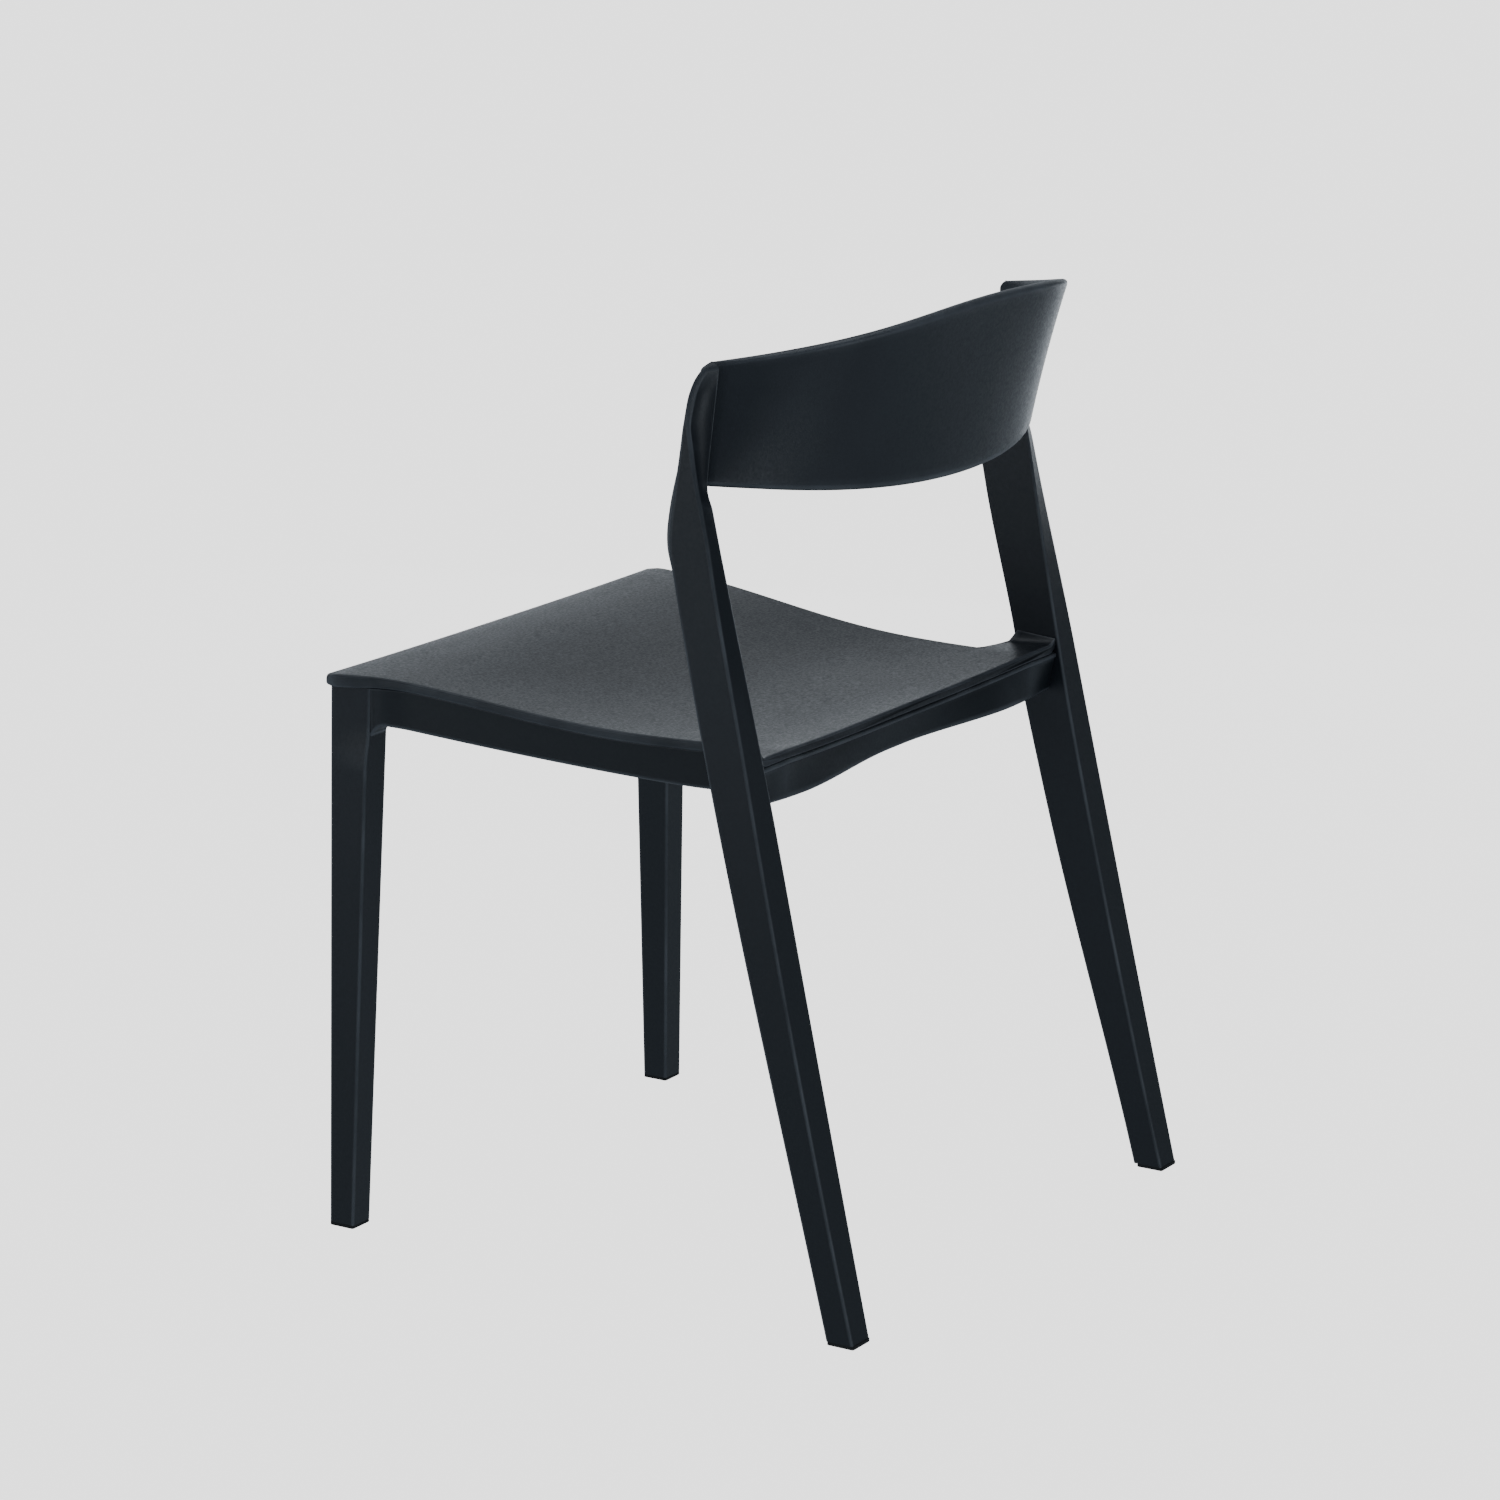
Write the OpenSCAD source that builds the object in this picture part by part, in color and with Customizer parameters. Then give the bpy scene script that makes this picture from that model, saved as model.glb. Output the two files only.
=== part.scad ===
// Stacking chair with a dished seat, raked rear legs and a curved back band.
// Millimetres. X is the sitter's left, Y points to the back, Z is up.
// The origin is on the floor, in the middle of the chair's footprint.

/* [Seat] */
// Height of the seat's side edge behind the front legs
seat_side_h = 459.8; // [456:0.2:462]
// Drop of the seat's side edge from the front to its lowest point
side_drop = 20.3; // [18:0.1:21]
// Depth of the dish below the side edges
dish = 8.5; // [5:0.5:10]
// Distance of the front edge from the middle of the footprint
seat_front = 256.5; // [255:0.5:258]
// Distance of the rear edge from the middle of the footprint
seat_rear = 139; // [138.5:0.1:140]
// How far the rear edge curves back at 200 mm from the centre line
rear_curve = 14.2; // [13.8:0.1:14.6]
// Half width of the seat at the middle of the footprint
seat_half = 203.8; // [203.5:0.1:204.5]
// Thickness of the seat shell
shell = 4.5; // [4:0.1:5]

/* [Rails] */
// Height of the side rails' underside at the back
rail_low = 401.2; // [400:0.2:403]
// Step from the seat's edge in to the face of a side rail
rail_inset = 3; // [2.8:0.1:3.2]
// Thickness of the front and rear rails
cross_rail_t = 15; // [14:0.1:15]

/* [Legs] */
// Side of a front leg at the floor
front_foot = 23.2; // [22:0.1:24]
// Outer face of a front leg at the floor
front_foot_x = 242.8; // [240:0.2:245]
// Front face of a front leg at the floor
front_foot_y = 252.5; // [251:0.5:254]
// Side of a rear leg at the floor
rear_foot = 24; // [23:0.1:25]
// Depth of an upright at its widest
upright_depth = 38.4; // [38:0.1:38.8]
// Radius of the legs' long edges
edge_r = 2.8; // [2:0.2:4]

/* [Back band] */
// Height of the top edge on the centre line
band_top = 772.2; // [767:0.2:774]
// Height of the bottom edge on the centre line
band_bottom = 630; // [628:0.5:632]
// Thickness of the band
band_t = 11; // [10:0.5:12]
// Hollow of the back face between the two edges, at the ends of the band
band_hollow = 3.3; // [2.5:0.1:4]

/* [Glides] */
// Height of the pad below the leg
glide_h = 3; // [2:0.5:4]
// Diameter of the stem pressed into the leg
stem_d = 8; // [6:0.5:9]
// Length of the stem
stem_l = 14; // [10:1:18]

/* [Hidden] */

// Depth of the seat's rim, how much deeper it is over the front legs,
// and the clearance between fitted parts
rim = 7.5;
front_rim_extra = 2.8;
gap = 0.2;
// Front face, outer face, width and depth of a front leg at leg_ref above the floor
leg_ref = 450;
leg_ref_x = 230.8;
leg_ref_y = -249.8;
leg_ref_w = 28.2;
leg_ref_d = 36.4;
// Back face of a rear leg at the floor, its rake and the bend of its line
rear_foot_y = 256.5;
rake = 0.2465;
bend = 0.000036;
// Thickness of a side rail, and how far its end block reaches back
side_rail_t = 16;
side_rail_end = 131;
// Half width and front end of the flare that meets the uprights
flare_x = 227.6;
flare_y = 115;
// Tenons of the left side: corner and size
front_tenon = [[211, -229, 426], [9, 15.5, 19]];
cross_tenon = [[202, -245, 428], [12, 9, 16]];
side_tenon = [[226.5, 122, 412], [14.5, 8, 18]];
rear_tenon = [[226.5, 136.5, 408], [16.5, 8.5, 18]];
// Braces: outline, underside and height
brace_h = 18;
front_brace_z = 425;
rear_brace_z = 405;
front_brace = [
    [160, -233.2], [202.2, -233.2], [202.2, -212.6], [207, -212.6],
    [203.4, -178], [197, -178], [160, -226],
];
rear_brace = [[125, 133.6], [168, 135.4], [170, 131], [176.2, 74], [170, 74], [125, 120]];
// Screws: bottom of the seat screws' shanks, heads of the brace screws
seat_screw_at = [[192, -204, front_brace_z], [158, 118, rear_brace_z]];
side_screw_at = [[190, -193, 434], [160, 92, 414]];
cross_screw_at = [[180, -217, 434], [145, 119, 414]];
screw_d = 4;
screw_l = 24;
seat_screw_l = 26;
head_d = 7;
head_h = 3;
// Back band: seam with the uprights, bottom and top
seam_x = [235.3, 221.4];
seam_z = [650, 741.8];
// Dowels across the seam: size, share of the height, share of the depth, direction
dowel_d = 3;
dowel_l = 14;
dowel_at = [0.2, 0.42];
dowel_share = 0.45;
dowel_turn = -51;
// Crown of an upright: height, then x and y of its outer front, outer back
// and inner front edges
crown = [
    [600, 248.3, 83.2, 248.3, 118.4, 235.2, 72.4],
    [610, 247.9, 83.0, 247.9, 116.2, 235.8, 72.6],
    [625, 247.1, 84.2, 247.1, 112.0, 236.8, 75.0],
    [650, 245.9, 87.2, 245.9, 105.8, 237.8, 81.0],
    [675, 244.5, 89.8, 244.5, 100.6, 234.2, 87.0],
    [700, 242.9, 92.4, 243.1, 96.6, 229.5, 92.0],
    [720, 240.2, 95.6, 240.6, 98.6, 225.0, 95.6],
    [730, 235.8, 98.0, 236.4, 101.2, 222.5, 97.6],
    [735, 232.0, 99.9, 232.8, 103.5, 221.2, 99.0],
];
// Where the crown starts to close over, and its top
crown_start = 735;
crown_top = 742;
// The crown closes over towards this point beside the band
crown_apex = [221.4, 104];
plastic = "#22262b";
rubber = "#15171a";
steel = "#9a9ea3";

function lerp(a, b, t) = a + (b - a) * t;
function clamp(v) = min(max(v, 0), 1);
function smooth(v) = let (t = clamp(v)) t * t * (3 - 2 * t);
function unit(v) = v / norm(v);

// ---- shape of the seat ----

function taper(y) = seat_half - 0.107 * y;
// Share of the climb from the lowest point of the sides to the front
function rise(y) = smooth(pow(clamp((42 - y) / 262), 1.15));
function side_z(y) = seat_side_h - side_drop * (1 - rise(y)) + 2.6 * pow(max(0, y - 42) / 100, 2);
function centre_z(y) =
    seat_side_h - side_drop - dish + (side_drop + dish - 1.5) * rise(y) + 4 * pow(max(0, y - 42) / 97, 2);
// Upstand that sweeps up towards the inner face of an upright
function collar(x, y) =
    (10 - 0.13 * (y - 114)) * pow(clamp((abs(x) - 217) / 10.6), 3) * smooth((y - 102) / 12);
// Front edge rolls down
function roll(y) = 1.5 * pow(clamp((y + 230) / -26.5), 2);
function seat_z(x, y) =
    lerp(centre_z(y), side_z(y), pow(min(1, abs(x) / taper(y)), 2.4)) + collar(x, y) - roll(y);
function rim_at(y) = rim + front_rim_extra * smooth((-175 - y) / 65);
// Underside of the rim, less the clearance: top of the legs and rails below it
function rim_seat(x, y) = seat_z(x, y) - rim_at(y) - gap;
function rear_edge(x) = seat_rear + rear_curve * min(0.92, pow(x / 200, 2));
// Half width: round front corners, straight taper, then the flare to the upright
function outline(y) =
    let (r = 12, d = clamp((r - y - seat_front) / r))
    let (widening = 4.5 * smooth((-203 - y) / 40))
    lerp(taper(y) + widening, flare_x, smooth((y - 99) / (flare_y - 99))) - r * (1 - sqrt(1 - d * d));

// ---- shape of the legs ----

// Outer x, inner x, front y and back y of a front leg
function front_leg(z) = let (t = z / leg_ref)
    let (x = lerp(front_foot_x, leg_ref_x, t), y = lerp(-front_foot_y, leg_ref_y, t))
    [x, x - lerp(front_foot, leg_ref_w, t), y, y + lerp(front_foot, leg_ref_d, t)];
function leg_back(z) = rear_foot_y - rake * z + bend * z * z;
function leg_outer(z) = 261.3 - 13 * pow(z / 600, 2.3);
function leg_inner(z) =
    227.9 + (z < 390 ? 8.3 * pow((390 - z) / 390, 1.6) : 7.3 * pow((z - 390) / 210, 1.35));
function leg_front(z) = leg_back(z) - lerp(rear_foot, upright_depth, smooth(z / 600));
// The inner front edge leads the outer one, most at the knee and above the seat
function lead(z) =
    2.3 + 6.5 * smooth(z / 300) - 2.8 * smooth((z - 405) / 45) + 4.8 * smooth((z - 450) / 130);
// The outer back edge falls behind the inner one on the way up to the crown
function trail(z) = 3.2 * smooth((z - 430) / 170);
function crown_edge(z, k) = [for (i = [k, k + 1]) lookup(z, [for (r = crown) [r[0], r[i]]])];

// ---- shape of the back band ----

function top_edge(x) = let (u = pow(x / 200, 2))
    [x, 224.4 - 2.6 * u - 56 * u * u - 14 * u * u * u, band_top - 13.5 * u - 8.9 * u * u];
function bottom_edge(x) = let (u = pow(x / 200, 2))
    [x, 197.1 - 42.7 * u - 15 * u * u, band_bottom + 13 * u + 0.8 * u * u];
// Horizontal directions across the band at its two edges, into the chair
function top_across(x) = let (u = pow(x / 200, 2))
    unit([-(5.2 + 224 * u + 84 * u * u) * x / 40000, -1, 0]);
function bottom_across(x) = let (u = pow(x / 200, 2)) unit([-(85.4 + 60 * u) * x / 40000, -1, 0]);
function across(s, t) = unit(lerp(bottom_across(seam_x[0] * s), top_across(seam_x[1] * s), t));
// Back face: s runs from side to side over -1 to 1, t from the bottom to the top
function band_face(s, t) =
    lerp(bottom_edge(seam_x[0] * s), top_edge(seam_x[1] * s), t)
    + across(s, t) * band_hollow * lerp(0.15, 1, s * s) * 4 * t * (1 - t);
function seam_share(z) = (z - seam_z[0]) / (seam_z[1] - seam_z[0]);
function seam_height(t) = lerp(seam_z[0], seam_z[1], t);
// Vector through the band's end, from its back face to its front face on the left upright
function end_depth(t) =
    let (c = band_face(1, t), d = crown_edge(seam_height(t), 5))
    [d[0] - c[0], d[1] - c[1], 0] * lerp(0.62, 1, t);
function band_depth(s, t) =
    let (e = end_depth(t), side = s < 0 ? -1 : 1)
    lerp(across(s, t) * band_t, [e[0] * side, e[1], 0], smooth((abs(s) - 0.86) / 0.14));

// ---- helpers ----

function total(v) = [for (p = v) 1] * v;
// Closed skin through rings with equal numbers of points, whichever way they run
module skin(rings) {
    first = rings[0];
    n = len(first);
    m = len(rings);
    facing = total([for (j = [0:n - 1]) cross(first[j] - first[0], first[(j + 1) % n] - first[0])]);
    order = facing * (total(rings[1]) - total(first)) > 0 ? [0, 2, 1] : [0, 1, 2];
    sides = [for (i = [0:m - 2], j = [0:n - 1]) let (k = (j + 1) % n)
        each [[i * n + j, i * n + k, i * n + n + k], [i * n + j, i * n + n + k, i * n + n + j]]];
    ends = [for (j = [1:n - 2]) each
        [[0, j + 1, j], [m * n - n, m * n - n + j, m * n - n + j + 1]]];
    polyhedron(points = [for (r = rings) each r],
        faces = [for (f = concat(sides, ends)) [for (i = order) f[i]]], convexity = 8);
}

// Corner c between its neighbours a and b, rounded by r
function round_off(a, c, b, r) =
    let (p = c + unit(a - c) * min(r, norm(a - c) * 0.48))
    let (q = c + unit(b - c) * min(r, norm(b - c) * 0.48))
    [for (t = [0:1 / 3:1]) p * (1 - t) * (1 - t) + c * 2 * t * (1 - t) + q * t * t];
function rounded(c, r) = let (n = len(c))
    [for (i = [0:n - 1]) each round_off(c[(i + n - 1) % n], c[i], c[(i + 1) % n], r[i])];
function lift(ring, z) = [for (p = ring) [p[0], p[1], z]];

module box(b, grow = 0) {
    translate(b[0] - [grow, grow, grow]) cube(b[1] + 2 * [grow, grow, grow]);
}

// The left side as modelled, or its mirror image
module on_side(side) {
    if (side < 0) mirror([1, 0, 0]) children();
    else children();
}

module along_x(at, d, l) {
    translate(at) rotate([0, 90, 0]) cylinder(d = d, h = l, $fn = 32);
}

module along_y(at, d, l) {
    translate(at) rotate([90, 0, 0]) translate([0, 0, -l]) cylinder(d = d, h = l, $fn = 32);
}

module along_z(at, d, l) {
    translate(at) cylinder(d = d, h = l, $fn = 32);
}

// Holes for the screws of one side, wide enough for the heads inside the braces
module screw_holes() {
    for (p = side_screw_at) {
        along_x(p + [head_h, 0, 0], screw_d + gap, screw_l + 1);
        along_x(p + [-40, 0, 0], head_d + 0.6, 40 + head_h);
    }
    // The front pair runs forwards, the rear pair runs backwards
    for (i = [0, 1]) let (way = i == 0 ? 180 : 0, p = cross_screw_at[i])
        translate(p) rotate([0, 0, way]) {
            along_y([0, head_h, 0], screw_d + gap, screw_l + 1);
            along_y([0, -40, 0], head_d + 0.6, 40 + head_h);
        }
    for (p = seat_screw_at)
        along_z(p - [0, 0, 1], screw_d + gap, seat_screw_l + 1.5);
}

// ---- seat ----

// One line of the shell from side to side: over the top, then back underneath
function seat_ring(v) =
    let (y0 = -seat_front)
    let (p = [for (i = [-18:18]) let (s = sin(i * 5), w = outline(lerp(y0, rear_edge(flare_x * s), v)))
        [w * s, lerp(y0, rear_edge(w * s), v)]])
    concat(
        [for (q = p) [q[0], q[1], seat_z(q[0], q[1]) - edge_drop(q, v)]],
        [for (i = [len(p) - 1:-1:0]) [p[i][0], p[i][1], seat_z(p[i][0], p[i][1]) - under(p[i], v)]]
    );
// Share of the nose along the front edge, which runs over the first 7 mm
function nose(v) = pow(clamp(1 - v / 0.018), 2);
// The shell's edges are rounded off by 1.5 mm, the nose by a little more
function edge_drop(q, v) =
    max(4.4 * nose(v), 1.5 * clamp(abs(q[0]) - outline(q[1]) + 1), 1.5 * clamp(v * 200 - 199));
// Thickness of the shell: thin in the middle and deep at the rim
function under(q, v) =
    let (inside = min(outline(q[1]) - abs(q[0]), v * 396, (1 - v) * 396))
    lerp(rim_at(q[1]), shell, smooth((inside - 6) / 8)) - 2.6 * nose(v);

module seat_shell() {
    stations = concat([0, 0.003, 0.007, 0.012, 0.02, 0.035, 0.06], [for (i = [2:17]) i * 0.05],
        [0.875, 0.89, 0.9, 0.91, 0.92, 0.93, 0.94, 0.955, 0.97, 0.98, 0.99, 0.995, 1]);
    color(plastic) difference() {
        union() {
            skin([for (v = stations) seat_ring(v)]);
            for (side = [-1, 1], p = seat_screw_at) on_side(side)
                along_z(p + [0, 0, brace_h + gap], 10, seat_z(p[0], p[1]) - 2.5 - p[2] - brace_h - gap);
        }
        for (side = [-1, 1]) on_side(side) screw_holes();
    }
}

// ---- rails ----

// Rail along the side of the seat, from the front leg to the block at the rear leg
module side_rail(side) {
    stations = concat([-213, -211, -209, -206, -201, -180], [for (i = [-3:1]) i * 40],
        [65, 85, 99, 102, 105, 108, 111, flare_y, side_rail_end]);
    on_side(side) color(plastic) difference() {
        union() {
            skin([for (y = stations) side_rail_ring(y)]);
            box(front_tenon);
            box(side_tenon);
        }
        screw_holes();
    }
}
// The underside sweeps down into the front leg
function side_rail_ring(y) =
    let (flare = smooth((y - 99) / (flare_y - 99)), i = taper(y) - rail_inset - side_rail_t)
    let (o = lerp(taper(y) - rail_inset, flare_x, flare) + 3.3 * smooth((-180 - y) / 30))
    let (top = side_z(y) - rim_at(y) - gap)
    let (low = rail_low + 18.8 * pow(clamp((74 - y) / 275), 1.4) - 10 * pow(clamp((-201 - y) / 12), 2))
    [for (c = [[o, top], [o, low + 3], [o - 0.9, low + 0.9], [o - 3, low],
            [i + 2, low], [i, low + 2], [i, top]])
        [c[0], y < -212 ? front_leg(c[1])[3] + gap : y, c[1]]];

module front_rail() {
    color(plastic) difference() {
        union() {
            skin([for (i = [-5:5]) front_rail_ring(i * 40.3)]);
            for (side = [-1, 1]) on_side(side) box(cross_tenon);
        }
        for (side = [-1, 1]) on_side(side) screw_holes();
    }
}
function front_rail_ring(x) =
    let (y = -248.5, low = seat_side_h - 41.5, top = rim_seat(x, y))
    cross_ring(x, y, y + cross_rail_t, low, top);
// Section with eased lower edges; the rail's ends follow the slope of the front legs
function cross_ring(x, y0, y1, low, top) =
    [for (c = [[y0, top], [y0, low + 2], [y0 + 2, low], [y1 - 2, low], [y1, low + 2], [y1, top]])
        [abs(x) < 201 ? x : sign(x) * (front_leg(c[1])[1] - gap), c[0], c[1]]];

module rear_rail() {
    color(plastic) difference() {
        union() {
            skin([for (i = [-8:8]) rear_rail_ring(i * flare_x / 8)]);
            for (side = [-1, 1]) on_side(side) box(rear_tenon);
        }
        for (side = [-1, 1]) on_side(side) screw_holes();
    }
}
// Back of the rail along its underside: it bows back between the middle and the legs
function rail_back(x) =
    seat_rear - 1.5 + 13.3 * smooth((abs(x) - 10) / 150) - 4 * smooth((abs(x) - 185) / 45);
// The face leans from there to a bead under the rim of the seat
function rear_rail_ring(x) =
    let (b = rail_back(x), f = b - cross_rail_t, r = rear_edge(x))
    let (top = rim_seat(min(abs(x), 215), r), low = 402 + 1.2 * smooth((abs(x) - 150) / 60))
    [for (c = [[f, top], [f, low + 2], [f + 2, low], [b - 2.5, low], [b, low + 2.5],
            [r - 0.5, top - 4], [r + 0.7, top - 2.5], [r + 0.7, top - 0.7], [r - 0.3, top]])
        [x, c[0], c[1]]];

// ---- corner braces ----

module brace(side, outline_points, z) {
    on_side(side) color(plastic) difference() {
        translate([0, 0, z]) linear_extrude(brace_h) polygon(outline_points);
        screw_holes();
    }
}

// ---- legs ----

module front_leg_piece(side) {
    on_side(side) color(plastic) difference() {
        skin([for (z = [glide_h, 385, 395, 405, 420]) lift(front_leg_section(z), z), front_leg_head()]);
        box(front_tenon, gap);
        box(cross_tenon, gap);
        stem_hole(front_leg(0));
    }
}
// Rounded section; skew moves the outer back corner inwards
function leg_ring(e, skew = 0) =
    rounded(
        [[e[0], e[2]], [e[0] - skew, e[3]], [e[1], e[3]], [e[1], e[2]]],
        [edge_r, edge_r, edge_r, edge_r]
    );
// Beside the rail the leg's outer face turns in to follow the edge of the seat
function front_leg_section(z) = leg_ring(front_leg(z), 3.4 * smooth((z - 385) / 35));
// The head follows the underside of the seat's rim
function front_leg_head() =
    [for (p = front_leg_section(leg_ref)) [p[0], p[1], rim_seat(p[0], p[1])]];

module stem_hole(e) {
    along_z([(e[0] + e[1]) / 2, (e[2] + e[3]) / 2, 0], stem_d + gap, glide_h + stem_l + 1);
}

module rear_leg_piece(side) {
    stations = concat([glide_h], [for (i = [1:11]) i * 50], [580, 600, 615, 630],
        [for (i = [0:8]) seam_z[0] + i * 10], [crown_start, 737, 738.8, 740.2, 741.2, crown_top]);
    on_side(side) color(plastic) difference() {
        skin([for (z = stations) rear_leg_ring(z)]);
        box(side_tenon, gap);
        box(rear_tenon, gap);
        stem_hole(rear_foot_edges());
        dowels(gap);
    }
}
function rear_foot_edges() = [leg_outer(0), leg_inner(0), leg_front(0), leg_back(0)];
// Corners of the section: outer front, outer back, inner back and inner front
function rear_leg_corners(z) = let (t = clamp(seam_share(z)), zc = min(z, crown_start))
    z < 600
        ? [[leg_outer(z), leg_front(z)], [leg_outer(z), leg_back(z) - trail(z)],
            [leg_inner(z), leg_back(z)], [leg_inner(z), leg_front(z) - lead(z)]]
        : [crown_edge(zc, 1), crown_edge(zc, 3), seam_corner(z, t), crown_edge(zc, 5)];
function seam_corner(z, t) = let (c = band_face(1, t), b = [leg_inner(z), leg_back(z)])
    lerp(b, [c[0], c[1]], smooth((z - 632) / 18));
function rear_leg_ring(z) =
    let (k = clamp((z - 600) / 50), inner_r = lerp(edge_r, 0.6, k), front_r = lerp(edge_r, 2, k))
    let (ring = rounded(rear_leg_corners(z), [front_r, front_r, inner_r, inner_r]))
    let (cap = clamp((z - crown_start) / (crown_top - crown_start + 0.2)))
    [for (p = ring) let (q = lerp(p, crown_apex, cap * cap)) [q[0], q[1], z]];

// ---- back band ----

module backrest() {
    steps = concat([0, 0.02, 0.06, 0.1, 0.15], [for (i = [4:16]) i * 0.05], [0.85, 0.9, 0.94, 0.98, 1]);
    color(plastic) difference() {
        skin([for (v = steps) band_ring(lerp(-1, 1, v) * 0.999)]);
        for (side = [-1, 1]) on_side(side) dowels(gap);
    }
}
// Section of the band: share of the height and share of the thickness
band_section = [
    [0.05, 0], [0.2, 0], [0.35, 0], [0.5, 0], [0.65, 0], [0.8, 0], [0.95, 0],
    [0.985, 0.12], [1, 0.4], [1, 0.6], [0.985, 0.88],
    [0.95, 1], [0.8, 1], [0.65, 1], [0.5, 1], [0.35, 1], [0.2, 1], [0.05, 1],
    [0.015, 0.88], [0, 0.6], [0, 0.4], [0.015, 0.12],
];
function band_ring(s) = [for (c = band_section) band_face(s, c[0]) + band_depth(s, c[0]) * c[1]];

// Dowels across the left seam, grown for their holes
module dowels(grow) {
    for (t = dowel_at) {
        middle = band_face(1, t) + end_depth(t) * dowel_share;
        translate(middle) rotate([0, 90, dowel_turn]) translate([0, 0, -(dowel_l + grow) / 2])
            cylinder(d = dowel_d + grow, h = dowel_l + grow, $fn = 32);
    }
}

// ---- glides and fasteners ----

module glide(side, e) {
    on_side(side) color(rubber) {
        skin([
            lift(leg_ring(e + [-0.7, 0.7, 0.7, -0.7]), 0),
            lift(leg_ring(e), 0.7),
            lift(leg_ring(e), glide_h),
        ]);
        along_z([(e[0] + e[1]) / 2, (e[2] + e[3]) / 2, glide_h - 0.5], stem_d, stem_l + 0.5);
    }
}

module brace_screws() {
    color(steel) for (side = [-1, 1]) on_side(side) {
        for (p = side_screw_at) translate(p) rotate([0, 90, 0]) screw_body(screw_l);
        translate(cross_screw_at[0]) rotate([90, 0, 0]) screw_body(screw_l);
        translate(cross_screw_at[1]) rotate([-90, 0, 0]) screw_body(screw_l);
    }
}
// Pan head with a hex socket, its shank pointing along Z
module screw_body(l) {
    difference() {
        union() {
            cylinder(d = head_d, h = head_h, $fn = 32);
            cylinder(d = screw_d, h = l, $fn = 32);
        }
        translate([0, 0, -0.1]) cylinder(d = 3.4, h = 1.9, $fn = 6);
    }
}

module seat_screws() {
    color(steel) for (side = [-1, 1], p = seat_screw_at) on_side(side)
        translate(p - [0, 0, head_h]) screw_body(seat_screw_l + 3);
}

module backrest_dowels() {
    color(steel) for (side = [-1, 1]) on_side(side) dowels(0);
}

seat_shell();
backrest();
front_leg_piece(1);  // left_front_leg
front_leg_piece(-1);  // right_front_leg
rear_leg_piece(1);  // left_rear_leg
rear_leg_piece(-1);  // right_rear_leg
front_rail();
rear_rail();
side_rail(1);  // left_side_rail
side_rail(-1);  // right_side_rail
brace(1, front_brace, front_brace_z);  // left_front_brace
brace(-1, front_brace, front_brace_z);  // right_front_brace
brace(1, rear_brace, rear_brace_z);  // left_rear_brace
brace(-1, rear_brace, rear_brace_z);  // right_rear_brace
glide(1, front_leg(0));  // left_front_glide
glide(-1, front_leg(0));  // right_front_glide
glide(1, rear_foot_edges());  // left_rear_glide
glide(-1, rear_foot_edges());  // right_rear_glide
brace_screws();
seat_screws();
backrest_dowels();
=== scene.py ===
import math

import bmesh
import bpy
import numpy as np
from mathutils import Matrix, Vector


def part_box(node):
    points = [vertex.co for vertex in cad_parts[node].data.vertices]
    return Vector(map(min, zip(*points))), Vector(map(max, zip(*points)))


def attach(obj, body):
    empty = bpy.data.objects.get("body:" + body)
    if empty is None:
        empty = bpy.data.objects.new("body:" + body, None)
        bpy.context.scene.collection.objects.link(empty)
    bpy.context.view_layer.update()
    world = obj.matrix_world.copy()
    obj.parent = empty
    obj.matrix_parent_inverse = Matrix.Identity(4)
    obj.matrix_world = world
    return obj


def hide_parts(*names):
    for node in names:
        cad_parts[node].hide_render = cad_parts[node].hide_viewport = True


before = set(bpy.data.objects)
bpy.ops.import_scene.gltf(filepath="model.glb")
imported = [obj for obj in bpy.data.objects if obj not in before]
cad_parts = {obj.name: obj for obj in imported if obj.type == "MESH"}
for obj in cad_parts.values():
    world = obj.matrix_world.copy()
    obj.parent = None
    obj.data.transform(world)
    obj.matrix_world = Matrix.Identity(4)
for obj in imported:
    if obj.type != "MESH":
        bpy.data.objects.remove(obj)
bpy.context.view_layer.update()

MM = 0.001

# ---------------------------------------------------------------- sizes, in mm

SEAT_SIDE_H, SIDE_DROP, DISH = 459.8, 20.3, 8.5
SEAT_FRONT, SEAT_REAR, REAR_CURVE, SEAT_HALF = 256.5, 139.0, 14.2, 203.8
SHELL, RIM, FRONT_RIM_EXTRA, GAP = 4.5, 7.5, 2.8, 0.2
RAIL_LOW, RAIL_INSET, CROSS_RAIL_T, SIDE_RAIL_T = 401.2, 3.0, 15.0, 16.0
SIDE_RAIL_START, SIDE_RAIL_END = -212.5, 131.0
FRONT_RAIL_HALF, FRONT_RAIL_Y, FRONT_RAIL_DROP = 201.5, -248.5, 41.5
REAR_RAIL_LOW = 402.0
FLARE_X, FLARE_Y = 227.6, 115.0
FRONT_FOOT, FRONT_FOOT_X, FRONT_FOOT_Y = 23.2, 242.8, 252.5
LEG_NECK = 428.0
LEG_REF, LEG_REF_X, LEG_REF_Y, LEG_REF_W, LEG_REF_D = 450.0, 230.8, -249.8, 28.2, 36.4
REAR_FOOT, UPRIGHT_DEPTH, REAR_FOOT_Y = 24.0, 38.4, 256.5
RAKE, BEND = 0.2465, 0.000036
BAND_TOP, BAND_BOTTOM, BAND_T, BAND_HOLLOW = 772.2, 630.0, 11.0, 3.3
SEAM_X, SEAM_Z = (235.3, 221.4), (650.0, 741.8)
# Share of the half band at which its end starts to turn, and the roll of the end's top
BAND_END, END_DROP = 0.86, 4.0
GLIDE_H = 3.0
EDGE_R = 1.8
# Angle in degrees between two facets at which an edge gets the full painted highlight
EDGE_TURN = 18.0
# How far a rail's visible end runs into the leg it is set in
OVERRUN = 0.5
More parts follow.
